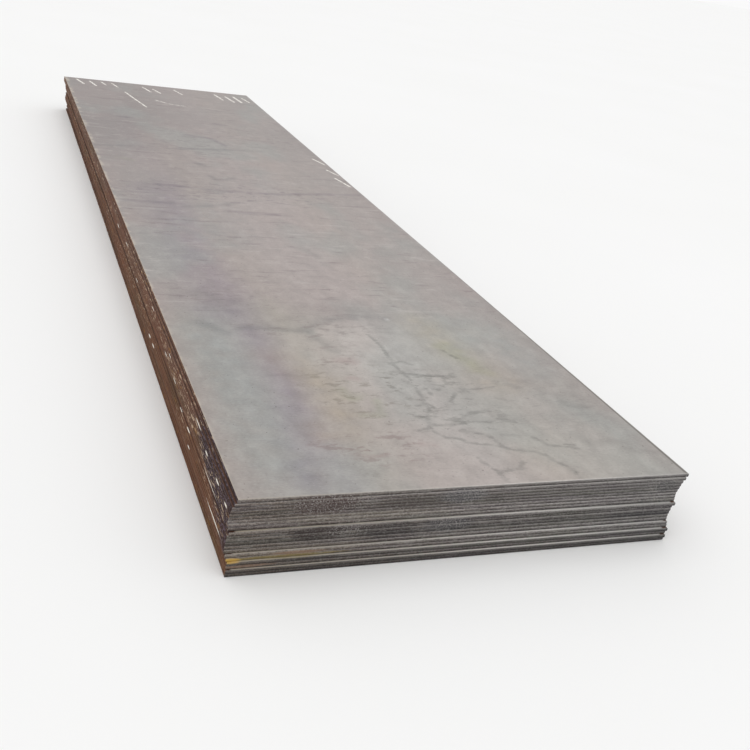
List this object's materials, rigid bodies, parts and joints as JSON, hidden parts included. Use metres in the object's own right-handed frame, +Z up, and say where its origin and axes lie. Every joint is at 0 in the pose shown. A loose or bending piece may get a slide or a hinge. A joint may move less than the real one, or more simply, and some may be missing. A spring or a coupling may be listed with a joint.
{
  "type": "stack of steel plates",
  "caption": "Stack of long rectangular hot-rolled steel plates lying flat on one another with slightly uneven ends, stored as raw stock for cutting and fabrication.",
  "frame": {"origin": "on the floor, under the middle of the stack's bounding box", "axes": "+X across the plates, +Y along them towards the far end, +Z up through the stack"},
  "size_m": [1.5598, 6.114, 0.2667],
  "materials": {
    "plate_steel": "hot-rolled mill scale, rusty along the rolled edges",
    "marking_paint": "dry white marking paint, brushed on by hand"
  },
  "bodies": {
    "root": {"plate_01": "plate_steel", "plate_02": "plate_steel", "plate_03": "plate_steel", "plate_04": "plate_steel", "plate_05": "plate_steel", "plate_06": "plate_steel", "plate_07": "plate_steel", "plate_08": "plate_steel", "plate_09": "plate_steel", "plate_10": "plate_steel", "plate_11": "plate_steel", "plate_12": "plate_steel", "plate_13": "plate_steel", "plate_14": "plate_steel", "plate_15": "plate_steel", "plate_16": "plate_steel", "plate_17": "plate_steel", "plate_18": "plate_steel", "plate_19": "plate_steel", "plate_20": "plate_steel", "plate_21": "plate_steel"}
  },
  "joints": []
}
